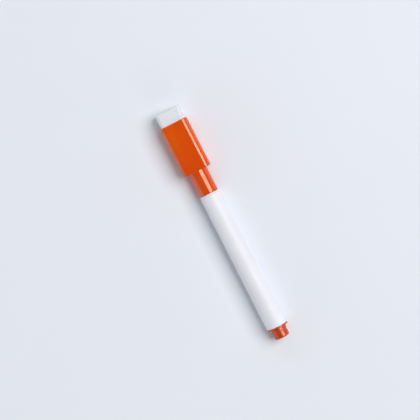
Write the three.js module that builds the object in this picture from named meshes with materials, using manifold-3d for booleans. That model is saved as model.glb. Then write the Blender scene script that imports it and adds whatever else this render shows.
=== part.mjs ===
// Whiteboard marker lying on its side: a tapered barrel with a fibre ink core, a nib in a front section,
// a rear plug that the cap can be posted on, and a push-on cap. The cap carries a hollow block with a felt
// eraser in its open end and a flat magnet in its underside.
//
// Frame: millimetres, +Z up. The marker's axis runs along X with the nib and the cap towards +X. The origin
// is on the surface that the marker lies on, below the middle of its capped length.
//
// Turned pieces are drawn as outlines of [radius, station], where a station is the distance along the axis
// from the tail end. The other pieces are drawn with their length along the same axis. One turned group at
// the end lays all of them along X.

import * as THREE from 'three';
import { mergeVertices } from 'three/addons/utils/BufferGeometryUtils.js';
import Module from 'manifold-3d';

const wasm = await Module();
wasm.setup();

// ---- Driving dimensions ----

const AXIS_HEIGHT = 6.5; // the block's underside and the plug's flange rest on one surface

const BOSS_LENGTH = 6.4; // posting boss of the rear plug
const FLANGE_LENGTH = 1.0; // of the rear plug, and of the front section
const BARREL_LENGTH = 87.7;
const COLLAR_LENGTH = 15.2;
const BLOCK_LENGTH = 31.5;
const PAD_STANDOUT = 8.2;

const BARREL_FRONT_RADIUS = 6.15;
const BARREL_TAIL_RADIUS = 6.45;
const BARREL_WALL = 1.0;
const BOSS_RADIUS = 4.7;
const NECK_RADIUS = 4.8;
const LAND_RADIUS = 3.4; // the round land that the inner cap seals on
const CORE_RADIUS = 3.7;
const NIB_RADIUS = 1.5;
const COLLAR_RADIUS = 5.9;

const BLOCK_WIDTH = 17.6;
const BLOCK_HEIGHT = 2 * AXIS_HEIGHT;
const BLOCK_CORNER = 3.7;
const BLOCK_WALL = 0.95;

const GAP = 0.05; // between pieces that touch, are pressed together or slide on each other
const NECK_CLEARANCE = 0.15; // between the neck and the cap

const ROUND_SEGMENTS = 40;
const ARC_STEPS = 4;
const CORNER_STEPS = 6;

// ---- Stations along the axis, from the tail end ----

const BARREL_START = BOSS_LENGTH + FLANGE_LENGTH;
const BARREL_END = BARREL_START + BARREL_LENGTH;
const SHOULDER = BARREL_END + FLANGE_LENGTH; // the cap's mouth seats on this face
const MOUTH = SHOULDER + 3 * GAP;
const BLOCK_START = SHOULDER + COLLAR_LENGTH;
const BLOCK_END = BLOCK_START + BLOCK_LENGTH;
const TOTAL_LENGTH = BLOCK_END + PAD_STANDOUT;

const NECK_END = SHOULDER + 10.9;
const LAND_END = NECK_END + 6.0;
const CONE_END = LAND_END + 5.6;
const NIB_TIP = CONE_END + 5.9;

const PLUG_SPIGOT_END = BARREL_START + 9.6;
const SECTION_SPIGOT_START = BARREL_END - 9.0;
const CORE_START = BARREL_START + 5.6;
const CORE_END = SHOULDER + 6.3;
const NIB_START = CORE_END - 7.4;

const INNER_CAP_START = NECK_END + 1.7;
const INNER_CAP_END = NIB_TIP + 7.0;
const PAD_START = BLOCK_END - 6.6;

// ---- Materials ----

function material(color, roughness) {
  return new THREE.MeshStandardMaterial({ color, roughness, metalness: 0 });
}

const ORANGE_PLASTIC = material(0xd95310, 0.25);
const WHITE_PLASTIC = material(0xeeeef2, 0.35);
const INNER_CAP_PLASTIC = material(0xe4e6e8, 0.5);
const CLEAR_FILM = material(0xe8ecee, 0.2);
const INK_FIBRE = material(0xc4501c, 0.95);
const NIB_FIBRE = material(0xc9480f, 0.9);
const WHITE_FELT = material(0xe6e4ea, 1.0);
const FLEXIBLE_MAGNET = material(0x2c2b2b, 0.7);
const ADHESIVE = material(0xdcd8c8, 0.6);

// ---- Shape helpers ----

// Turns an outline about the axis. The outline starts and ends on the axis, or closes on itself.
function turned(path) {
  return new THREE.LatheGeometry(path.getPoints(ARC_STEPS), ROUND_SEGMENTS);
}

// An open outline through [radius, station] corners.
function outline(corners) {
  return new THREE.Path().setFromPoints(corners.map(([radius, station]) => new THREE.Vector2(radius, station)));
}

// A closed outline through [radius, station] corners, for a piece that has a hole through it.
function ring(corners) {
  return outline([...corners, corners[0]]);
}

// The three corners of a low snap bead that goes round a surface of the given radius.
function bead(radius, middle) {
  const [height, halfLength] = [0.07, 0.6];
  return [
    [radius, middle - halfLength],
    [radius + height, middle],
    [radius, middle + halfLength],
  ];
}

function cylinder(radius, from, to) {
  const geometry = new THREE.CylinderGeometry(radius, radius, to - from, ROUND_SEGMENTS);
  return geometry.translate(0, (from + to) / 2, 0);
}

// A box by its width, its two stations, and its lowest and highest level from the axis.
function box(width, from, to, low, high) {
  const geometry = new THREE.BoxGeometry(width, to - from, high - low);
  return geometry.translate(0, (from + to) / 2, (low + high) / 2);
}

function roundedRectangle(width, height, corner) {
  const [right, top] = [width / 2 - corner, height / 2 - corner];
  const centres = [[right, top], [-right, top], [-right, -top], [right, -top]];
  const shape = new THREE.Shape();
  centres.forEach(([x, y], i) => shape.absarc(x, y, corner, (i * Math.PI) / 2, ((i + 1) * Math.PI) / 2));
  return shape.closePath();
}

// A bar with a rounded-rectangle section between two stations. `edge` softens the edges of its two ends.
function bar({ width, height, corner }, from, to, edge = 0) {
  const section = roundedRectangle(width - 2 * edge, height - 2 * edge, corner - edge);
  const geometry = new THREE.ExtrudeGeometry(section, {
    depth: to - from - 2 * edge,
    curveSegments: CORNER_STEPS,
    bevelEnabled: edge > 0,
    bevelSize: edge,
    bevelThickness: edge,
    bevelSegments: 2,
  });
  return geometry.rotateX(-Math.PI / 2).translate(0, from + edge, 0);
}

// The block's section, made smaller by an inset all round.
function blockSection(inset) {
  return {
    width: BLOCK_WIDTH - 2 * inset,
    height: BLOCK_HEIGHT - 2 * inset,
    corner: BLOCK_CORNER - inset,
  };
}

// A closed geometry as a solid that can be joined and cut.
function solid(geometry) {
  const positions = geometry.index ? geometry.toNonIndexed() : geometry.clone();
  positions.deleteAttribute('normal');
  positions.deleteAttribute('uv');
  const merged = mergeVertices(positions);
  const mesh = new wasm.Mesh({
    numProp: 3,
    vertProperties: merged.getAttribute('position').array,
    triVerts: new Uint32Array(merged.index.array),
  });
  return new wasm.Manifold(mesh);
}

function geometryOf(manifold) {
  const { vertProperties, triVerts } = manifold.getMesh();
  const geometry = new THREE.BufferGeometry();
  geometry.setAttribute('position', new THREE.BufferAttribute(vertProperties, 3));
  geometry.setIndex(new THREE.BufferAttribute(triVerts, 1));
  geometry.computeVertexNormals();
  return geometry;
}

function node(name, geometry, itsMaterial) {
  const mesh = new THREE.Mesh(geometry, itsMaterial);
  mesh.name = name;
  return mesh;
}

// ---- The pen ----

// White tube, a little wider towards the tail, open at both ends.
function barrel() {
  const edge = 0.25;
  const [start, end] = [BARREL_START + GAP, BARREL_END - GAP];
  const path = ring([
    [BARREL_TAIL_RADIUS - BARREL_WALL, start],
    [BARREL_TAIL_RADIUS - edge, start],
    [BARREL_TAIL_RADIUS, start + edge],
    [BARREL_FRONT_RADIUS, end - edge],
    [BARREL_FRONT_RADIUS - edge, end],
    [BARREL_FRONT_RADIUS - BARREL_WALL, end],
  ]);
  return node('barrel', turned(path), WHITE_PLASTIC);
}

// Rear plug: a hollow boss in two stages to post the cap on, a flange that closes the barrel, and a spigot
// pressed into the bore. Its inner step stops the ink core.
function rearPlug() {
  const wall = 1.3;
  const bossEdge = 0.6;
  const bossStep = 0.2;
  const [tipRadius, rootRadius] = [BOSS_RADIUS - bossStep / 2, BOSS_RADIUS + bossStep / 2];
  const [tipStageEnd, rootStageStart] = [4.1, 4.5];
  const flangeEdge = 0.15;
  const chamfer = 0.5;
  const spigotRadius = BARREL_TAIL_RADIUS - BARREL_WALL - 2 * GAP;
  const cupRadius = CORE_RADIUS + 5 * GAP;
  const step = CORE_START - 2 * GAP;
  const path = new THREE.Path();
  path.moveTo(0, 0);
  path.lineTo(tipRadius - bossEdge, 0);
  path.absarc(tipRadius - bossEdge, bossEdge, bossEdge, -Math.PI / 2, 0);
  path.lineTo(tipRadius, tipStageEnd);
  path.lineTo(rootRadius, rootStageStart);
  path.lineTo(rootRadius, BOSS_LENGTH);
  path.lineTo(AXIS_HEIGHT - flangeEdge, BOSS_LENGTH);
  path.lineTo(AXIS_HEIGHT, BOSS_LENGTH + flangeEdge);
  path.lineTo(AXIS_HEIGHT, BARREL_START);
  path.lineTo(spigotRadius, BARREL_START);
  path.lineTo(spigotRadius, PLUG_SPIGOT_END - chamfer);
  path.lineTo(spigotRadius - chamfer, PLUG_SPIGOT_END);
  path.lineTo(cupRadius, PLUG_SPIGOT_END);
  path.lineTo(cupRadius, step);
  path.lineTo(BOSS_RADIUS - wall, step);
  path.lineTo(BOSS_RADIUS - wall, wall);
  path.lineTo(0, wall);
  return node('rear_plug', turned(path), ORANGE_PLASTIC);
}

// Front section: a spigot pressed into the barrel, a flange, the neck that the cap slides over, the land
// that the inner cap seals on, and a cone that holds the nib.
function frontSection() {
  const edge = 0.15;
  const chamfer = 0.5;
  const neckStep = 0.5;
  const coneEndRadius = 2.1;
  const spigotRadius = BARREL_FRONT_RADIUS - BARREL_WALL - 2 * GAP;
  const cupRadius = CORE_RADIUS + 5 * GAP;
  const nibBore = NIB_RADIUS + GAP;
  const step = CORE_END + 6 * GAP;
  const path = ring([
    [cupRadius, SECTION_SPIGOT_START],
    [spigotRadius - chamfer, SECTION_SPIGOT_START],
    [spigotRadius, SECTION_SPIGOT_START + chamfer],
    [spigotRadius, BARREL_END],
    [BARREL_FRONT_RADIUS, BARREL_END],
    [BARREL_FRONT_RADIUS, SHOULDER - edge],
    [BARREL_FRONT_RADIUS - edge, SHOULDER],
    [NECK_RADIUS, SHOULDER],
    ...bead(NECK_RADIUS, SHOULDER + COLLAR_LENGTH / 2),
    [NECK_RADIUS, NECK_END - neckStep],
    [NECK_RADIUS - neckStep, NECK_END],
    [LAND_RADIUS, NECK_END],
    [LAND_RADIUS, LAND_END],
    [coneEndRadius, CONE_END - edge],
    [coneEndRadius - edge, CONE_END],
    [nibBore, CONE_END],
    [nibBore, step],
    [cupRadius, step],
  ]);
  return node('front_section', turned(path), WHITE_PLASTIC);
}

// Bullet nib of bonded fibre, with its rear end in the ink core.
function nib() {
  const bulletLength = 2.6;
  const chamfer = 0.4;
  const path = new THREE.Path();
  path.moveTo(0, NIB_START);
  path.lineTo(NIB_RADIUS - chamfer, NIB_START);
  path.lineTo(NIB_RADIUS, NIB_START + chamfer);
  path.absellipse(0, NIB_TIP - bulletLength, NIB_RADIUS, bulletLength, 0, Math.PI / 2);
  return node('nib', turned(path), NIB_FIBRE);
}

// Fibre core that holds the ink, with the socket that the nib is pushed into.
function inkCore() {
  const socketFloor = NIB_START - 2 * GAP;
  const socketRadius = NIB_RADIUS + GAP;
  const path = outline([
    [0, CORE_START],
    [CORE_RADIUS, CORE_START],
    [CORE_RADIUS, CORE_END],
    [socketRadius, CORE_END],
    [socketRadius, socketFloor],
    [0, socketFloor],
  ]);
  return node('ink_core', turned(path), INK_FIBRE);
}

// Thin plastic film wrapped round the core, open at both ends.
function coreFilm() {
  const endInset = 0.5;
  const [inner, outer] = [CORE_RADIUS + GAP, CORE_RADIUS + 3 * GAP];
  const [start, end] = [CORE_START + endInset, CORE_END - endInset];
  const path = ring([[inner, start], [outer, start], [outer, end], [inner, end]]);
  return node('core_film', turned(path), CLEAR_FILM);
}

// ---- The cap ----

const INNER_CAP_WALL = 0.5;
const INNER_CAP_RADIUS = LAND_RADIUS + 2 * GAP + INNER_CAP_WALL;

const MAGNET_WIDTH = 10.2;
const MAGNET_LENGTH = 20.0;
const MAGNET_THICKNESS = 1.2;
const MAGNET_START = BLOCK_START + 3.4;
const ADHESIVE_THICKNESS = 0.15;
const RECESS_CEILING = -AXIS_HEIGHT + MAGNET_THICKNESS + ADHESIVE_THICKNESS + 2 * GAP;

// Soft cup pressed into the cap. Its low inner rib closes round the land and keeps the nib from drying.
function innerCap() {
  const leadIn = 0.25;
  const endEdge = 0.3;
  const bore = INNER_CAP_RADIUS - INNER_CAP_WALL;
  const floor = INNER_CAP_END - INNER_CAP_WALL;
  const ribStart = INNER_CAP_START + 1.0;
  const ribEnd = ribStart + 1.2;
  const path = outline([
    [0, floor],
    [bore, floor],
    [bore, ribEnd],
    [bore - GAP, (ribStart + ribEnd) / 2],
    [bore, ribStart],
    [bore + leadIn, INNER_CAP_START],
    [INNER_CAP_RADIUS, INNER_CAP_START],
    [INNER_CAP_RADIUS, INNER_CAP_END - endEdge],
    [INNER_CAP_RADIUS - endEdge, INNER_CAP_END],
    [0, INNER_CAP_END],
  ]);
  return node('inner_cap', turned(path), INNER_CAP_PLASTIC);
}

// The round collar that slides over the neck, still solid.
function collar() {
  const edge = 0.25;
  const top = BLOCK_START + 1;
  const path = outline([
    [0, MOUTH],
    [COLLAR_RADIUS - edge, MOUTH],
    [COLLAR_RADIUS, MOUTH + edge],
    [COLLAR_RADIUS, top],
    [0, top],
  ]);
  return solid(turned(path));
}

// The block as a shell, open at the end that the eraser goes in.
function blockShell() {
  const endEdge = 0.35;
  const floor = 1.2;
  const past = 1;
  const outside = solid(bar(blockSection(0), BLOCK_START, BLOCK_END, endEdge));
  const inside = solid(bar(blockSection(BLOCK_WALL), BLOCK_START + floor, BLOCK_END + past));
  return outside.subtract(inside);
}

// Inside the shell: the tube round the inner cap, a web on each side of it, and the magnet's tray.
function blockInsides() {
  const overlap = BLOCK_WALL / 2;
  const tubeWall = 0.8;
  const tubeTop = 1.1;
  const webThickness = 1.0;
  const trayWall = 0.8;
  const trayRoof = 0.6;
  const start = BLOCK_START + overlap;
  const tube = solid(cylinder(INNER_CAP_RADIUS + tubeWall, start, INNER_CAP_END + tubeTop));
  const webWidth = BLOCK_WIDTH - 2 * overlap;
  const webEnd = PAD_START - ADHESIVE_THICKNESS - 2 * GAP;
  const web = solid(box(webWidth, start, webEnd, -webThickness / 2, webThickness / 2));
  const trayStart = MAGNET_START - trayWall;
  const trayEnd = MAGNET_START + MAGNET_LENGTH + trayWall;
  const trayWidth = MAGNET_WIDTH + 2 * trayWall;
  const tray = solid(box(trayWidth, trayStart, trayEnd, -AXIS_HEIGHT + overlap, RECESS_CEILING + trayRoof));
  return tube.add(web).add(tray);
}

// What the bore takes away: a lead-in, a wide stretch round the neck, and a narrower one round the inner cap.
function capBore() {
  const leadIn = 0.35;
  const past = 1;
  const neckBore = NECK_RADIUS + NECK_CLEARANCE;
  const innerCapBore = INNER_CAP_RADIUS + GAP;
  const step = INNER_CAP_START - 2 * GAP;
  const end = INNER_CAP_END + 2 * GAP;
  const path = outline([
    [0, MOUTH - past],
    [neckBore + leadIn, MOUTH - past],
    [neckBore + leadIn, MOUTH],
    [neckBore, MOUTH + leadIn],
    [neckBore, step],
    [innerCapBore, step],
    [innerCapBore, end],
    [0, end],
  ]);
  return solid(turned(path));
}

// What the magnet's recess takes away from the underside.
function magnetRecess() {
  const side = 2 * GAP;
  const past = 1;
  const [start, end] = [MAGNET_START - side, MAGNET_START + MAGNET_LENGTH + side];
  return solid(box(MAGNET_WIDTH + 2 * side, start, end, -AXIS_HEIGHT - past, RECESS_CEILING));
}

function capBody() {
  const body = collar().add(blockShell()).add(blockInsides()).subtract(capBore()).subtract(magnetRecess());
  return node('cap_body', geometryOf(body), ORANGE_PLASTIC);
}

// Flexible magnet, flush with the block's underside.
function magnet() {
  const [start, end] = [MAGNET_START, MAGNET_START + MAGNET_LENGTH];
  const shape = box(MAGNET_WIDTH, start, end, -AXIS_HEIGHT, -AXIS_HEIGHT + MAGNET_THICKNESS);
  return node('magnet', shape, FLEXIBLE_MAGNET);
}

// Adhesive sheet between the magnet and the ceiling of its recess.
function magnetAdhesive() {
  const inset = 0.5;
  const [start, end] = [MAGNET_START + inset, MAGNET_START + MAGNET_LENGTH - inset];
  const low = -AXIS_HEIGHT + MAGNET_THICKNESS + GAP;
  const shape = box(MAGNET_WIDTH - 2 * inset, start, end, low, low + ADHESIVE_THICKNESS);
  return node('magnet_adhesive', shape, ADHESIVE);
}

// Felt pad that fills the open end of the block and stands out of it.
function eraserPad() {
  const endEdge = 0.3;
  const shape = bar(blockSection(BLOCK_WALL + GAP), PAD_START, TOTAL_LENGTH, endEdge);
  return node('eraser_pad', shape, WHITE_FELT);
}

// Adhesive strip that holds the felt pad down on the ends of the webs.
function eraserAdhesive() {
  const [width, halfHeight] = [11.6, 2.5];
  const end = PAD_START - GAP;
  const shape = box(width, end - ADHESIVE_THICKNESS, end, -halfHeight, halfHeight);
  return node('eraser_adhesive', shape, ADHESIVE);
}

// ---- Assembly ----

const pen = new THREE.Group();
pen.add(barrel(), rearPlug(), frontSection(), nib(), inkCore(), coreFilm());

const cap = new THREE.Group();
cap.add(capBody(), innerCap(), magnet(), magnetAdhesive(), eraserPad(), eraserAdhesive());

const marker = new THREE.Group();
marker.add(pen, cap);
marker.rotation.z = -Math.PI / 2;
marker.position.set(-TOTAL_LENGTH / 2, 0, AXIS_HEIGHT);

export default marker;
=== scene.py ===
"""Looks of the whiteboard marker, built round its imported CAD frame.

The frame is in metres: +X runs from the tail to the cap and the felt eraser, +Z is up, and the marker lies
on the floor at z = 0. Lengths in this script are millimetres in the same frame unless a comment says metres,
and each mesh is scaled once, as it is made. Ends of pieces come from the boxes of their CAD nodes.
"""
import math
import random

import bmesh
import bpy
from mathutils import Matrix, Vector, noise

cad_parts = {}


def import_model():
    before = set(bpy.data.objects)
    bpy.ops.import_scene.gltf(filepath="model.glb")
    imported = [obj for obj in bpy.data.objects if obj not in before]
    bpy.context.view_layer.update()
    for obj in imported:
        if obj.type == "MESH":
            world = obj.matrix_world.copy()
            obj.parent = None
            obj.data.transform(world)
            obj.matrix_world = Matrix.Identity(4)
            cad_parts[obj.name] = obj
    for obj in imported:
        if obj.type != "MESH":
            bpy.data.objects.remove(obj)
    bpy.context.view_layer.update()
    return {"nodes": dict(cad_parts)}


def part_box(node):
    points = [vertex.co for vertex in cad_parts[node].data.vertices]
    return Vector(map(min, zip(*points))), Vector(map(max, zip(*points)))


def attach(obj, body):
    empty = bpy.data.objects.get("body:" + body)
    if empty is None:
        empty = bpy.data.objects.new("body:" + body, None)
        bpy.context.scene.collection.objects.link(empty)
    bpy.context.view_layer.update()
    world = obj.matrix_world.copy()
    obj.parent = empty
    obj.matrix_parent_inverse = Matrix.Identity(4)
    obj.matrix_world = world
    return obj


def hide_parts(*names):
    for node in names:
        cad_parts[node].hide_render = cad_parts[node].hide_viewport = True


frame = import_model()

MM = 0.001
TINY = 1e-6


# ---- Sizes from the frame ----


def ends(node):
    """The lowest and highest x of a CAD node, in mm."""
    low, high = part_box(node)
    return low.x / MM, high.x / MM


def half_sizes(node):
    """Half the width and half the height of a CAD node, in mm."""
    low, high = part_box(node)
    return (high.y - low.y) / 2 / MM, (high.z - low.z) / 2 / MM


TAIL, SPIGOT_END = ends("rear_plug")
BARREL_START, BARREL_END = ends("barrel")
SECTION_SPIGOT_START, CONE_END = ends("front_section")
MOUTH, BLOCK_END = ends("cap_body")
INNER_CAP_START, INNER_CAP_END = ends("inner_cap")
NIB_START, NIB_TIP = ends("nib")
PAD_START, PAD_END = ends("eraser_pad")
CORE_START, CORE_END = ends("ink_core")

FLANGE_RADIUS = half_sizes("rear_plug")[1]
TAIL_RADIUS = half_sizes("barrel")[1]
FRONT_RADIUS = half_sizes("front_section")[1]
INNER_CAP_RADIUS = half_sizes("inner_cap")[1]
NIB_RADIUS = half_sizes("nib")[1]
CORE_RADIUS = half_sizes("ink_core")[1]
BLOCK_HALF_WIDTH, BLOCK_HALF_HEIGHT = half_sizes("cap_body")
PAD_HALF_WIDTH, PAD_HALF_HEIGHT = half_sizes("eraser_pad")
AXIS_HEIGHT = FLANGE_RADIUS

# Sizes that the boxes do not give.
GAP = 0.05
BARREL_WALL = 1.0
FLANGE_START = TAIL + 6.4
FLANGE_END = BARREL_START - GAP
SHOULDER = MOUTH - 3 * GAP
BLOCK_START = SHOULDER + 15.2
BLOCK_CORNER = 3.7
BLOCK_WALL = 0.95
COLLAR_RADIUS = 5.9
NECK_RADIUS = 4.8
NECK_BORE = NECK_RADIUS + 0.15
NECK_END = SHOULDER + 10.9
LAND_RADIUS = 3.4
LAND_END = NECK_END + 6.0

ROUND_STEPS = 112
ARC_STEPS = 5
CORNER_STEPS = 12
FLAT_STEPS = (24, 12)  # along the long and the short sides of the block
SUPPORT = 0.25  # how far from a fillet an extra loop keeps the flat beside it flat


# ---- Outlines ----


def arc(here, back, ahead, radius):
    """The points of a fillet at a corner, given the directions back along the outline and ahead."""
    half = back.angle(ahead) / 2
    middle = here + (back + ahead).normalized() * radius / math.sin(half)
    spoke = here + back * radius / math.tan(half) - middle
    turn = math.copysign(math.pi - 2 * half, ahead.cross(back))
    return [middle + Matrix.Rotation(turn * i / ARC_STEPS, 2) @ spoke for i in range(ARC_STEPS + 1)]


def rounded(corners, closed=False):
    """An outline through corners of (x, radius, fillet). A fillet of 0 leaves the corner sharp."""
    points = [Vector(corner[:2]) for corner in corners]
    outline = []
    for i, (here, corner) in enumerate(zip(points, corners)):
        if corner[2] == 0:
            outline.append(here)
            continue
        back = (points[i - 1] - here).normalized()
        ahead = (points[(i + 1) % len(points)] - here).normalized()
        outline += arc(here, back, ahead, corner[2])
    return supported(outline, closed)


def supported(outline, closed):
    """The outline with a point added near both ends of each long straight stretch."""
    following = outline[1:] + (outline[:1] if closed else [])
    result = []
    for here, after in zip(outline, following):
        result.append(here)
        if (after - here).length > 4 * SUPPORT:
            step = (after - here).normalized() * SUPPORT
            result += [here + step, after - step]
    return result if closed else result + outline[-1:]


def rounded_rectangle(half_width, half_height, corner, flat_steps=FLAT_STEPS):
    """Points anticlockwise round a rectangle with rounded corners, as many for any size."""
    points = []
    centres = [Vector((x * (half_width - corner), y * (half_height - corner))) for x, y in
               ((1, 1), (-1, 1), (-1, -1), (1, -1))]
    for side, centre in enumerate(centres):
        for i in range(CORNER_STEPS + 1):
            angle = (side + i / CORNER_STEPS) * math.pi / 2
            points.append(centre + corner * Vector((math.cos(angle), math.sin(angle))))
        start, step_count = points[-1], flat_steps[side % 2]
        angle = (side + 1) * math.pi / 2
        end = centres[(side + 1) % 4] + corner * Vector((math.cos(angle), math.sin(angle)))
        points += [start.lerp(end, i / step_count) for i in range(1, step_count)]
    return points


def even_angles(count=ROUND_STEPS):
    return [2 * math.pi * i / count for i in range(count)]


# ---- Meshes ----


def circle(x, radius, angles):
    """A loop about the marker's axis, or its centre point where the radius is 0."""
    if radius < TINY:
        return [(x, 0, AXIS_HEIGHT)]
    return [(x, radius * math.cos(a), AXIS_HEIGHT + radius * math.sin(a)) for a in angles]


def across(x, points):
    """A loop across the marker's axis from points of (y, height above the axis)."""
    return [(x, y, AXIS_HEIGHT + z) for y, z in points]


def skin(name, loops, closed=False):
    """A piece whose surface runs over loops of points in mm. A loop of one point closes an end."""
    shape = bmesh.new()
    rings = [[shape.verts.new(Vector(point) * MM) for point in loop] for loop in loops]
    following = rings[1:] + (rings[:1] if closed else [])
    for ring, after in zip(rings, following):
        count = max(len(ring), len(after))
        for i in range(count):
            j = (i + 1) % count
            here, beside = ring[i % len(ring)], ring[j % len(ring)]
            shape.faces.new(dict.fromkeys((here, beside, after[j % len(after)], after[i % len(after)])))
    bmesh.ops.recalc_face_normals(shape, faces=shape.faces)
    return piece_of(name, shape)


def piece_of(name, shape):
    """A smooth-shaded object from a bmesh."""
    mesh = bpy.data.meshes.new(name)
    shape.to_mesh(mesh)
    shape.free()
    mesh.shade_smooth()
    piece = bpy.data.objects.new(name, mesh)
    bpy.context.collection.objects.link(piece)
    return piece


def turned(name, corners, closed=False):
    """A turned piece from corners of (x, radius, fillet)."""
    angles = even_angles()
    return skin(name, [circle(x, radius, angles) for x, radius in rounded(corners, closed)], closed)


def apply_modifiers(piece):
    graph = bpy.context.evaluated_depsgraph_get()
    made = bpy.data.meshes.new_from_object(piece.evaluated_get(graph))
    piece.modifiers.clear()
    piece.data = made
    piece.data.name = piece.name


def finish_piece(piece, body, material, slot, *nodes):
    """Gives a piece its material and the body that it rides on, and hides the CAD nodes that it stands for.
    """
    piece.data.materials.clear()
    piece.data.materials.append(material)
    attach(piece, body)
    if nodes:
        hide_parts(*nodes)


# ---- Materials ----

USUAL_NOISE = (0.3, 0.7)  # most of a noise's values lie between these
OPAQUE = 1.0

# The Mix node has sockets of the same names for numbers and for colours. These are the colours' sockets.
MIX_FACTOR, MIX_COLOURS, MIX_RESULT = 0, (6, 7), 2


class Nodes:
    """A material's node tree, with short calls for the nodes that the materials share."""

    def __init__(self, name, **constants):
        self.material = bpy.data.materials.new(name)
        self.material.use_nodes = True
        self.tree = self.material.node_tree
        self.shader = self.tree.nodes["Principled BSDF"]
        for key, value in constants.items():
            self.shader.inputs[key.replace("_", " ")].default_value = value
        self.place = self.add("ShaderNodeTexCoord").outputs["Object"]

    def add(self, kind, inputs=(), **settings):
        """A node with its settings, and its inputs set to a value or linked to a socket."""
        node = self.tree.nodes.new(kind)
        for key, value in settings.items():
            setattr(node, key, value)
        for key, value in dict(inputs).items():
            if isinstance(value, bpy.types.NodeSocket):
                self.tree.links.new(value, node.inputs[key])
            else:
                node.inputs[key].default_value = value
        return node

    def noise(self, grain, detail=2.0, roughness=0.5, stretch=(1, 1, 1), distortion=0.0, turn=0.0):
        """Noise from 0 to 1 with grains of about `grain` mm, stretched by a factor along each axis.

        The stretched axes can be turned by some degrees about X, Y and Z alike."""
        scale = [1 / (grain * MM * factor) for factor in stretch]
        turned_place = self.add("ShaderNodeMapping", {
            "Vector": self.place, "Rotation": [math.radians(turn)] * 3}).outputs["Vector"]
        place = self.add("ShaderNodeMapping", {"Vector": turned_place, "Scale": scale}).outputs["Vector"]
        inputs = {"Vector": place, "Scale": 1.0, "Detail": detail, "Roughness": roughness,
                  "Distortion": distortion}
        return self.add("ShaderNodeTexNoise", inputs).outputs[0]

    def spread(self, value, low, high, start=0.0, end=1.0):
        """Maps value from [start, end] to [low, high], and holds it there outside."""
        inputs = {"Value": value, "From Min": start, "From Max": end, "To Min": low, "To Max": high}
        return self.add("ShaderNodeMapRange", inputs).outputs["Result"]

    def vary(self, noise_value, low=0.0, high=1.0):
        """Maps the values that noise mostly has to [low, high]."""
        return self.spread(noise_value, low, high, *USUAL_NOISE)

    def blend(self, factor, first, second):
        """A colour between two colours."""
        node = self.add("ShaderNodeMix", data_type="RGBA")
        self.tree.links.new(factor, node.inputs[MIX_FACTOR])
        for socket, colour in zip(MIX_COLOURS, (first, second)):
            if isinstance(colour, bpy.types.NodeSocket):
                self.tree.links.new(colour, node.inputs[socket])
            else:
                node.inputs[socket].default_value = (*colour, OPAQUE)
        return node.outputs[MIX_RESULT]

    def math(self, operation, first, second):
        return self.add("ShaderNodeMath", {0: first, 1: second}, operation=operation).outputs[0]

    def bump(self, height, depth, under=None):
        """A bump of that depth in mm, over another bump if there is one."""
        inputs = {"Height": height, "Strength": 1.0, "Distance": depth * MM}
        if under is not None:
            inputs["Normal"] = under
        return self.add("ShaderNodeBump", inputs).outputs["Normal"]

    def use(self, **sockets):
        """Links sockets to the shader's inputs and returns the material."""
        for key, socket in sockets.items():
            self.tree.links.new(socket, self.shader.inputs[key.replace("_", " ")])
        return self.material


def scratches(nodes, width, sparseness, turn=0.0):
    """Fine scratches in patches, from 0 to 1. A turn in degrees leads them away from the marker's length."""
    softness = 0.08
    bare, scratched = 0.42, 0.6
    lines = nodes.noise(width, detail=0, stretch=(70, 1, 1), distortion=0.4, turn=turn)
    patches = nodes.noise(9, detail=1)
    return nodes.math("MULTIPLY", nodes.spread(lines, 0, 1, sparseness, sparseness + softness),
                      nodes.spread(patches, 0, 1, bare, scratched))


def parting_line(nodes):
    """A hairline ridge, from 0 to 1, where the two halves of the mould meet at the axis height."""
    crest, foot = 0.02 * MM, 0.07 * MM
    height = nodes.add("ShaderNodeSeparateXYZ", {0: nodes.place}).outputs["Z"]
    away = nodes.math("ABSOLUTE", nodes.math("SUBTRACT", height, AXIS_HEIGHT * MM), 0.0)
    return nodes.spread(away, 1, 0, crest, foot)


def along(nodes, start, end):
    """From 0 to 1 along the marker between two stations in mm."""
    x = nodes.add("ShaderNodeSeparateXYZ", {0: nodes.place}).outputs["X"]
    return nodes.spread(x, 0, 1, start * MM, end * MM)


def orange_plastic(name, deep, bright, dullness, parting_height):
    """Glossy moulded plastic between two close shades, with the ridge of the mould's parting line."""
    nodes = Nodes(name, IOR=1.7, Specular_Tint=(1.0, 0.96, 0.76, 1.0))
    flow = nodes.vary(nodes.noise(11, detail=3, stretch=(2.5, 1, 1)))
    # The colour is deepest at the mouth and lighter on average towards the block's far end.
    colour = nodes.blend(nodes.math("MULTIPLY", flow, along(nodes, MOUTH, BLOCK_END)), deep, bright)
    along_wipe, across_wipe = scratches(nodes, 0.05, 0.62, turn=8), scratches(nodes, 0.04, 0.64, turn=-31)
    wipe = nodes.math("MAXIMUM", along_wipe, across_wipe)
    dulling = nodes.noise(3.2, detail=4)
    roughness = nodes.math("ADD", nodes.vary(dulling, dullness, dullness + 0.06),
                           nodes.spread(wipe, 0, 0.14))
    peel = nodes.bump(nodes.noise(1.3, detail=1), 0.005)
    parting = nodes.bump(parting_line(nodes), parting_height, under=peel)
    relief = nodes.bump(wipe, -0.003, under=parting)
    return nodes.use(Base_Color=colour, Roughness=roughness, Normal=relief)


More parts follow.
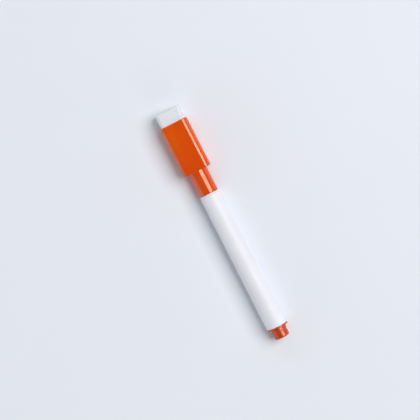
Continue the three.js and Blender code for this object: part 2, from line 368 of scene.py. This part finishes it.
def white_plastic():
    """Satin extruded plastic: faint lines along it from the die, and fine scratches from handling."""
    nodes = Nodes("white_plastic", IOR=1.48)
    cloud = nodes.noise(14, detail=3, stretch=(3, 1, 1))
    colour = nodes.blend(nodes.vary(cloud), (0.79, 0.79, 0.845), (0.85, 0.85, 0.905))
    along_wipe, across_wipe = scratches(nodes, 0.07, 0.6, turn=6), scratches(nodes, 0.06, 0.62, turn=-27)
    wipe = nodes.math("MAXIMUM", along_wipe, across_wipe)
    dulling = nodes.noise(2.6, detail=5)
    roughness = nodes.math("ADD", nodes.vary(dulling, 0.38, 0.52), nodes.spread(wipe, 0, 0.2))
    die_lines = nodes.bump(nodes.noise(0.3, detail=2, stretch=(200, 1, 1)), 0.012)
    peel = nodes.bump(nodes.noise(1.1, detail=2), 0.012, under=die_lines)
    relief = nodes.bump(wipe, -0.008, under=peel)
    return nodes.use(Base_Color=colour, Roughness=roughness, Normal=relief)


def inner_cap_plastic():
    nodes = Nodes("inner_cap_plastic", IOR=1.51, Subsurface_Weight=0.3, Subsurface_Scale=0.0015)
    cloud = nodes.noise(3, detail=3)
    colour = nodes.blend(cloud, (0.74, 0.75, 0.77), (0.82, 0.83, 0.84))
    roughness = nodes.vary(nodes.noise(0.5, detail=3), 0.42, 0.58)
    relief = nodes.bump(nodes.noise(0.35, detail=2), 0.004)
    return nodes.use(Base_Color=colour, Roughness=roughness, Normal=relief)


def clear_film():
    nodes = Nodes("clear_film", IOR=1.5, Alpha=0.45)
    colour = nodes.blend(nodes.noise(2, detail=2), (0.8, 0.82, 0.84), (0.88, 0.9, 0.91))
    roughness = nodes.vary(nodes.noise(0.6, detail=3), 0.12, 0.24)
    wrinkles = nodes.bump(nodes.noise(0.8, detail=2, stretch=(12, 1, 1)), 0.02)
    return nodes.use(Base_Color=colour, Roughness=roughness, Normal=wrinkles)


def ink_fibre():
    """Fibres along the core, soaked with ink."""
    nodes = Nodes("ink_fibre", IOR=1.45)
    strands = nodes.noise(0.06, detail=2, stretch=(90, 1, 1))
    soaking = nodes.noise(6, detail=3)
    wet = nodes.blend(soaking, (0.42, 0.055, 0.004), (0.6, 0.13, 0.015))
    colour = nodes.blend(nodes.spread(strands, 0, 0.5, 0.45, 0.75), wet, (0.85, 0.35, 0.12))
    roughness = nodes.vary(strands, 0.55, 0.85)
    return nodes.use(Base_Color=colour, Roughness=roughness, Normal=nodes.bump(strands, 0.03))


def nib_fibre():
    """Bonded fibres along the nib, wet with ink."""
    nodes = Nodes("nib_fibre", IOR=1.45, Sheen_Weight=0.15)
    strands = nodes.noise(0.05, detail=2, stretch=(14, 1, 1), distortion=0.5)
    pores = nodes.noise(0.16, detail=3)
    soaking = nodes.noise(1.5, detail=2)
    wet = nodes.blend(soaking, (0.5, 0.045, 0.002), (0.66, 0.09, 0.006))
    colour = nodes.blend(nodes.spread(strands, 0, 0.55, 0.4, 0.8), wet, (0.85, 0.24, 0.04))
    roughness = nodes.vary(pores, 0.5, 0.9)
    relief = nodes.bump(strands, 0.025, under=nodes.bump(pores, 0.03))
    return nodes.use(Base_Color=colour, Roughness=roughness, Normal=relief)


def white_felt():
    """Pressed felt: matted fibres with pits between them, and painted shade that darkens the pits."""
    nodes = Nodes("white_felt", Roughness=0.96, IOR=1.4, Sheen_Weight=0.35, Sheen_Roughness=0.6)
    matting = nodes.noise(0.22, detail=5, roughness=0.65, distortion=1.2)
    tufts = nodes.noise(1.4, detail=3, distortion=0.6)
    layers = nodes.noise(0.5, detail=2, stretch=(1, 6, 6))
    bright = nodes.blend(nodes.vary(tufts), (0.775, 0.795, 0.845), (0.855, 0.875, 0.925))
    # Painted shade: the colour is darker where the matting bump is low, in the felt's pits.
    painted_pit_shade = nodes.spread(matting, 0.0, 1.0, 0.3, 0.52)
    colour = nodes.blend(painted_pit_shade, (0.655, 0.675, 0.725), bright)
    relief = nodes.bump(matting, 0.12, under=nodes.bump(layers, 0.06))
    return nodes.use(Base_Color=colour, Normal=relief)


def flexible_magnet():
    """Matt dark sheet, filled with ferrite powder, with the fine lines that rolling leaves."""
    nodes = Nodes("flexible_magnet", IOR=1.5, Specular_IOR_Level=0.35)
    powder = nodes.noise(0.08, detail=4, roughness=0.7)
    rolling = nodes.noise(0.12, detail=1, stretch=(120, 1, 1))
    colour = nodes.blend(nodes.spread(powder, 0, 1, 0.35, 0.7), (0.018, 0.017, 0.017), (0.045, 0.043, 0.042))
    roughness = nodes.vary(powder, 0.55, 0.75)
    relief = nodes.bump(rolling, 0.012, under=nodes.bump(powder, 0.01))
    return nodes.use(Base_Color=colour, Roughness=roughness, Normal=relief)


def adhesive():
    nodes = Nodes("adhesive", IOR=1.47)
    bubbles = nodes.noise(0.4, detail=3)
    colour = nodes.blend(bubbles, (0.66, 0.63, 0.52), (0.76, 0.74, 0.66))
    roughness = nodes.vary(bubbles, 0.45, 0.7)
    return nodes.use(Base_Color=colour, Roughness=roughness, Normal=nodes.bump(bubbles, 0.02))


def floor_paint():
    nodes = Nodes("floor_paint", IOR=1.45)
    cloud = nodes.noise(160, detail=2)
    colour = nodes.blend(cloud, (0.82, 0.845, 0.915), (0.84, 0.865, 0.935))
    roughness = nodes.vary(nodes.noise(40, detail=3), 0.42, 0.5)
    return nodes.use(Base_Color=colour, Roughness=roughness)


# ---- The pen ----


def barrel():
    edge = 0.25
    return turned("barrel_tube", [
        (BARREL_START, TAIL_RADIUS - BARREL_WALL, 0.1),
        (BARREL_START, TAIL_RADIUS, edge),
        (BARREL_END, FRONT_RADIUS, edge),
        (BARREL_END, FRONT_RADIUS - BARREL_WALL, 0.1),
    ], closed=True)


def rear_plug():
    """Boss in two stages with a gate dimple in its end, flange, and the hollow spigot inside the barrel."""
    dimple_depth, dimple_radius = 0.3, 1.3
    tip_radius, root_radius = 4.6, 4.8
    tip_stage_end, root_stage_start = TAIL + 4.1, TAIL + 4.5
    spigot_radius = TAIL_RADIUS - BARREL_WALL - 2 * GAP
    cup_radius = CORE_RADIUS + 5 * GAP
    wall = 1.3
    return turned("rear_plug_body", [
        (TAIL + dimple_depth, 0, 0),
        (TAIL + dimple_depth, dimple_radius - dimple_depth, 0.12),
        (TAIL, dimple_radius, 0.12),
        (TAIL, tip_radius, 0.7),
        (tip_stage_end, tip_radius, 0.12),
        (root_stage_start, root_radius, 0.15),
        (FLANGE_START, root_radius, 0.12),
        (FLANGE_START, FLANGE_RADIUS, 0.22),
        (FLANGE_END, FLANGE_RADIUS, 0.12),
        (FLANGE_END, spigot_radius, 0.05),
        (SPIGOT_END, spigot_radius, 0.4),
        (SPIGOT_END, cup_radius, 0.2),
        (CORE_START - 2 * GAP, cup_radius, 0.1),
        (CORE_START - 2 * GAP, root_radius - wall, 0.1),
        (TAIL + wall, root_radius - wall, 0.3),
        (TAIL + wall, 0, 0),
    ])


def front_section():
    """Flange, neck with its snap bead, sealing land and the cone that holds the nib."""
    bead_height, bead_half = 0.07, 0.6
    bead_at = SHOULDER + 7.6
    cone_radius = 2.1
    spigot_radius = FRONT_RADIUS - BARREL_WALL - 2 * GAP
    cup_radius = CORE_RADIUS + 5 * GAP
    flange_start = BARREL_END + GAP
    nib_bore = NIB_RADIUS + GAP
    step = CORE_END + 6 * GAP
    return turned("front_section_body", [
        (SECTION_SPIGOT_START, cup_radius, 0.1),
        (SECTION_SPIGOT_START, spigot_radius, 0.4),
        (flange_start, spigot_radius, 0.05),
        (flange_start, FRONT_RADIUS, 0.08),
        (SHOULDER, FRONT_RADIUS, 0.18),
        (SHOULDER, NECK_RADIUS, 0.15),
        (bead_at - bead_half, NECK_RADIUS, 0.3),
        (bead_at, NECK_RADIUS + bead_height, 0.5),
        (bead_at + bead_half, NECK_RADIUS, 0.3),
        (NECK_END, NECK_RADIUS, 0.45),
        (NECK_END, LAND_RADIUS, 0.2),
        (LAND_END, LAND_RADIUS, 0.3),
        (CONE_END, cone_radius, 0.25),
        (CONE_END, nib_bore, 0.1),
        (step, nib_bore, 0.1),
        (step, cup_radius, 0.1),
    ], closed=True)


def nib():
    """Bullet nib: a rod with a rounded tip."""
    bullet_length = 2.6
    steps = 14
    shoulder = NIB_TIP - bullet_length
    rod = rounded([(NIB_START, 0, 0), (NIB_START, NIB_RADIUS, 0.3), (shoulder, NIB_RADIUS, 0)])
    angles = even_angles(ROUND_STEPS // 2)
    loops = [circle(x, radius, angles) for x, radius in rod]
    for i in range(1, steps + 1):
        angle = math.pi / 2 * i / steps
        x = shoulder + bullet_length * math.sin(angle)
        loops.append(circle(x, NIB_RADIUS * math.cos(angle), angles))
    return skin("nib_bullet", loops)


# ---- The cap ----


def block_loop(x, inset):
    """A loop of the block's section, made smaller by an inset all round."""
    return across(x, rounded_rectangle(
        BLOCK_HALF_WIDTH - inset, BLOCK_HALF_HEIGHT - inset, BLOCK_CORNER - inset))


def cap_body():
    """One skin from the bore's floor out of the mouth, over the collar and the block, into the pocket."""
    lead_in = 0.35
    bore_radius = INNER_CAP_RADIUS + GAP
    bore_end, bore_step = INNER_CAP_END + 2 * GAP, INNER_CAP_START - 2 * GAP
    block_edge, rim_edge = 0.35, 0.42
    collar_fillet = 0.2
    past_fillet = 1.05  # the two skins of the block's flat face start just past a fillet's end
    adhesive_room = 0.35
    pocket_floor = PAD_START - adhesive_room
    round_part = rounded([
        (bore_end, 0, 0),
        (bore_end, bore_radius, 0.2),
        (bore_step, bore_radius, 0.08),
        (bore_step, NECK_BORE, 0.1),
        (MOUTH + lead_in, NECK_BORE, 0.2),
        (MOUTH, NECK_BORE + lead_in, 0.1),
        (MOUTH, COLLAR_RADIUS, 0.22),
        (BLOCK_START, COLLAR_RADIUS, collar_fillet),
        (BLOCK_START, COLLAR_RADIUS + past_fillet * collar_fillet, 0),
    ])
    block_part = rounded([
        (BLOCK_START, past_fillet * block_edge, 0),
        (BLOCK_START, 0, block_edge),
        (BLOCK_END, 0, rim_edge),
        (BLOCK_END, BLOCK_WALL, 0.12),
        (pocket_floor, BLOCK_WALL, 0),
    ])
    outer = rounded_rectangle(BLOCK_HALF_WIDTH, BLOCK_HALF_HEIGHT, BLOCK_CORNER)
    angles = [math.atan2(z, y) for y, z in outer]
    loops = [circle(x, radius, angles) for x, radius in round_part]
    loops += [block_loop(x, inset) for x, inset in block_part]
    loops.append([(pocket_floor, 0, AXIS_HEIGHT)])
    return skin("cap_shell", loops)


def plate(name, low, high, corner, edge):
    """A slab between two corners of a box, with rounded corners and its faces' edges chamfered."""
    middle, half = (low + high) / 2, (high - low) / 2
    stations = [(low.z, edge), (low.z + edge, 0), (high.z - edge, 0), (high.z, edge)]
    loops = [[(middle.x, middle.y, low.z)]]
    for z, inset in stations:
        outline = rounded_rectangle(half.x - inset, half.y - inset, corner - inset, flat_steps=(1, 1))
        loops.append([(middle.x + x, middle.y + y, z) for x, y in outline])
    loops.append([(middle.x, middle.y, high.z)])
    return skin(name, loops)


def magnet_box(grow):
    """The magnet's lowest and highest corners in mm, moved out by `grow` sideways."""
    low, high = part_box("magnet")
    side = Vector((grow, grow, 0))
    return low / MM - side, high / MM + side


def magnet():
    low, high = magnet_box(0)
    piece = plate("magnet_plate", low, high, corner=0.4, edge=0.12)
    piece.data.set_sharp_from_angle(angle=math.radians(35))
    return piece


def cut_magnet_recess(cap):
    """Takes the magnet's recess out of the cap's underside."""
    below = 1
    low, high = magnet_box(2 * GAP)
    low.z -= below
    high.z += 5 * GAP
    cutter = plate("magnet_recess", low, high, corner=0.5, edge=GAP)
    cut = cap.modifiers.new("recess", "BOOLEAN")
    cut.operation = "DIFFERENCE"
    cut.object = cutter
    cut.solver = "EXACT"
    apply_modifiers(cap)
    bpy.data.objects.remove(cutter)
    cap.data.set_sharp_from_angle(angle=math.radians(40))


def inner_cap():
    wall = 0.5
    bore = INNER_CAP_RADIUS - wall
    floor = INNER_CAP_END - wall
    rib_start, rib_end = INNER_CAP_START + 1.0, INNER_CAP_START + 2.2
    return turned("inner_cap_cup", [
        (floor, 0, 0),
        (floor, bore, 0.3),
        (rib_end, bore, 0.2),
        ((rib_start + rib_end) / 2, bore - GAP, 0.4),
        (rib_start, bore, 0.2),
        (INNER_CAP_START, bore + 0.25, 0.08),
        (INNER_CAP_START, INNER_CAP_RADIUS, 0.08),
        (INNER_CAP_END, INNER_CAP_RADIUS, 0.4),
        (INNER_CAP_END, 0, 0),
    ])


# ---- The felt eraser ----

FELT_SEED = 7
FELT_VOXEL = 0.26
FUZZ_COUNT = 1500
FIBRE_LENGTHS = (0.15, 0.45)
FIBRE_RADII = (0.012, 0.022)


def felt_roughness(point):
    """How far the felt's surface stands in or out at a point, in mm: soft lumps and finer tufts."""
    lump_size, lump_height = 2.6, 0.07
    tuft_size, tuft_height = 0.55, 0.035
    octave = 2.0
    elsewhere = Vector((31, 7, 5))  # so that the tufts do not follow the lumps
    lumps = noise.fractal(point / (lump_size * MM), 0.9, octave, 3)
    tufts = noise.fractal(point / (tuft_size * MM) + elsewhere, 0.8, octave, 2)
    return lump_height * lumps + tuft_height * tufts


def eraser_pad():
    """Felt block with worn edges. Only the part that stands out of the cap is rough."""
    corner = BLOCK_CORNER - BLOCK_WALL - GAP
    worn, hidden_edge = 0.85, 0.25
    face_inset = 2.0  # the loop that starts each flat end
    smooth_stretch = 0.8  # over which the roughness grows, out of the cap
    profile = rounded([
        (PAD_START, face_inset, 0),
        (PAD_START, 0, hidden_edge),
        (PAD_END, 0, worn),
        (PAD_END, face_inset, 0),
    ])
    loops = [[(PAD_START, 0, AXIS_HEIGHT)]]
    for x, inset in profile:
        section = rounded_rectangle(PAD_HALF_WIDTH - inset, PAD_HALF_HEIGHT - inset, corner - inset)
        loops.append(across(x, section))
    loops.append([(PAD_END, 0, AXIS_HEIGHT)])
    pad = skin("eraser_felt", loops)
    remesh = pad.modifiers.new("remesh", "REMESH")
    remesh.mode = "VOXEL"
    remesh.voxel_size = FELT_VOXEL * MM
    apply_modifiers(pad)
    for vertex in pad.data.vertices:
        out = vertex.co.x / MM - BLOCK_END
        amount = min(max(out / smooth_stretch, 0.0), 1.0)
        vertex.co += vertex.normal * felt_roughness(vertex.co) * amount * MM
    pad.data.shade_smooth()
    return pad


def fibre(shape, root, out, length, root_radius, chance):
    """A bent and tapered fibre of three sides from its root, as a closed tube."""
    sideways = out.cross(Vector((chance.uniform(-1, 1), chance.uniform(-1, 1), chance.uniform(-1, 1))))
    sideways = sideways.normalized() if sideways.length > TINY else Vector((1, 0, 0))
    lean = chance.uniform(0.5, 1.8)
    droop, taper = 0.35, 0.6
    sides = 3
    count = 5
    second = out.cross(sideways)
    rings = []
    for i in range(count):
        t = i / (count - 1)
        middle = root + (out * t * (1 - droop * t * lean) + sideways * lean * t * t) * length
        radius = root_radius * (1 - taper * t)
        ring = [middle + (sideways * math.cos(a) + second * math.sin(a)) * radius
                for a in even_angles(sides)]
        rings.append([shape.verts.new(point) for point in ring])
    shape.faces.new(reversed(rings[0]))
    shape.faces.new(rings[-1])
    for ring, after in zip(rings, rings[1:]):
        for i in range(sides):
            j = (i + 1) % sides
            shape.faces.new((ring[i], ring[j], after[j], after[i]))


def eraser_fuzz(pad):
    """Loose fibres that stand off the felt."""
    clear_of_rim, root_depth = 0.5, 0.03
    chance = random.Random(FELT_SEED)
    shape = bmesh.new()
    spots = [polygon for polygon in pad.data.polygons if polygon.center.x / MM > BLOCK_END + clear_of_rim]
    for polygon in chance.sample(spots, FUZZ_COUNT):
        root = polygon.center - polygon.normal * root_depth * MM
        length = chance.uniform(*FIBRE_LENGTHS) * MM
        radius = chance.uniform(*FIBRE_RADII) * MM
        fibre(shape, root, polygon.normal.copy(), length, radius, chance)
    bmesh.ops.recalc_face_normals(shape, faces=shape.faces)
    return piece_of("eraser_fuzz", shape)


# ---- Stage ----

CAMERA_TARGET = Vector((11.3, 4.3, 0))
CAMERA_DISTANCE = 1000.0
CAMERA_LEAN = (0.0490, -0.0409)  # the camera's direction from the target, along X and Y
CAMERA_HEADING = math.radians(-27.14)  # the way the picture's upright points on the floor, from +X
CAMERA_LENS = 143.4
SENSOR_WIDTH = 36
CLIP_RANGE = (0.01, 20)  # metres


def camera():
    """A long lens almost straight above the marker."""
    lean = Vector((*CAMERA_LEAN, 0))
    back = Vector((lean.x, lean.y, math.sqrt(1 - lean.length_squared)))
    upright = Vector((math.cos(CAMERA_HEADING), math.sin(CAMERA_HEADING), 0))
    right = upright.cross(back).normalized()
    up = back.cross(right)
    data = bpy.data.cameras.new("camera")
    data.lens = CAMERA_LENS
    data.sensor_width = SENSOR_WIDTH
    data.clip_start, data.clip_end = CLIP_RANGE
    made = bpy.data.objects.new("camera", data)
    turn = Matrix((right, up, back)).transposed().to_4x4()
    made.matrix_world = Matrix.Translation((CAMERA_TARGET + back * CAMERA_DISTANCE) * MM) @ turn
    bpy.context.collection.objects.link(made)
    bpy.context.scene.camera = made


LIGHT_DISTANCE = 6.0  # metres


def soft_light(name, heading, tilt, size, power):
    """A square soft light that shines on the marker.

    It is tilted from overhead towards a heading from +X, both in degrees. Its size is in metres."""
    heading, tilt = math.radians(heading), math.radians(tilt)
    data = bpy.data.lights.new(name, "AREA")
    data.shape = "SQUARE"
    data.size = size
    data.energy = power
    light = bpy.data.objects.new(name, data)
    side = Vector((math.cos(heading), math.sin(heading), 0)) * math.sin(tilt)
    towards = side + Vector((0, 0, math.cos(tilt)))
    light.location = towards * LIGHT_DISTANCE
    light.rotation_mode = "QUATERNION"
    light.rotation_quaternion = towards.to_track_quat("Z", "Y")
    light.visible_camera = False
    bpy.context.collection.objects.link(light)
    return light


def lights():
    """A key light over the marker's right flank, and low fills beyond its ends and on its left.

    Only the key shows in the gloss."""
    soft_light("key", heading=-86, tilt=34, size=4.2, power=317)
    for name, heading, power in (("fill_cap", -1, 50), ("fill_tail", 181, 50), ("fill_left", 94, 24)):
        fill = soft_light(name, heading, tilt=62, size=3.6, power=power)
        fill.visible_glossy = False


def world():
    """Pale surroundings, brightest at the horizon. The dark part overhead leans towards the key."""
    lean = math.radians(9)
    heights = (0.1, 0.25, 0.6)  # sines of the elevations between the horizon and overhead
    brightnesses = (1.5, 0.85, 0.36, 0.12, 0.03)
    tint = Vector((0.98, 1.0, 1.03))
    made = bpy.data.worlds.new("studio")
    made.use_nodes = True
    tree = made.node_tree
    place = tree.nodes.new("ShaderNodeTexCoord")
    turn = tree.nodes.new("ShaderNodeMapping")
    split = tree.nodes.new("ShaderNodeSeparateXYZ")
    ramp = tree.nodes.new("ShaderNodeValToRGB")
    turn.inputs["Rotation"].default_value[0] = -lean
    tree.links.new(place.outputs["Generated"], turn.inputs["Vector"])
    tree.links.new(turn.outputs["Vector"], split.inputs[0])
    tree.links.new(split.outputs["Z"], ramp.inputs[0])
    tree.links.new(ramp.outputs[0], tree.nodes["Background"].inputs["Color"])
    stops = ramp.color_ramp.elements
    for height in heights:
        stops.new(height)
    for stop, brightness in zip(stops, brightnesses):
        stop.color = (*(tint * brightness), OPAQUE)
    bpy.context.scene.world = made


def floor():
    size = 4.0  # metres
    depth = 0.01 * MM
    squares = 8
    shape = bmesh.new()
    bmesh.ops.create_grid(shape, x_segments=squares, y_segments=squares, size=size / 2)
    bmesh.ops.translate(shape, verts=shape.verts, vec=(0, 0, -depth))
    made = piece_of("floor", shape)
    made.data.materials.append(floor_paint())


# ---- Build ----


def build_pen():
    white = white_plastic()
    # The plug's orange is deeper and redder than the cap's.
    orange = orange_plastic(
        "plug_plastic", (0.55, 0.044, 0.001), (0.6, 0.056, 0.0016), dullness=0.2, parting_height=0)
    finish_piece(barrel(), "pen", white, "white_plastic", "barrel")
    finish_piece(front_section(), "pen", white, "white_plastic", "front_section")
    finish_piece(rear_plug(), "pen", orange, "orange_plastic", "rear_plug")
    finish_piece(nib(), "pen", nib_fibre(), "nib_fibre", "nib")


def build_cap():
    shell = cap_body()
    cut_magnet_recess(shell)
    orange = orange_plastic(
        "cap_plastic", (0.71, 0.067, 0.0018), (0.79, 0.112, 0.003), dullness=0.07, parting_height=0.02)
    finish_piece(shell, "cap", orange, "orange_plastic", "cap_body")
    finish_piece(magnet(), "cap", flexible_magnet(), "flexible_magnet", "magnet")
    finish_piece(inner_cap(), "cap_liner", inner_cap_plastic(), "inner_cap_plastic", "inner_cap")
    felt = white_felt()
    pad = eraser_pad()
    fuzz = eraser_fuzz(pad)
    finish_piece(pad, "cap", felt, "white_felt", "eraser_pad")
    finish_piece(fuzz, "cap", felt, "white_felt")


def dress_hidden_nodes():
    """The pieces that stay inside keep their CAD meshes and get their materials."""
    glue = adhesive()
    looks = {
        "ink_core": ink_fibre(),
        "core_film": clear_film(),
        "magnet_adhesive": glue,
        "eraser_adhesive": glue,
    }
    for node, material in looks.items():
        for material_slot in frame["nodes"][node].material_slots:
            material_slot.material = material


camera()
build_pen()
build_cap()
dress_hidden_nodes()
floor()
lights()
world()
bpy.context.scene.view_settings.view_transform = "Standard"
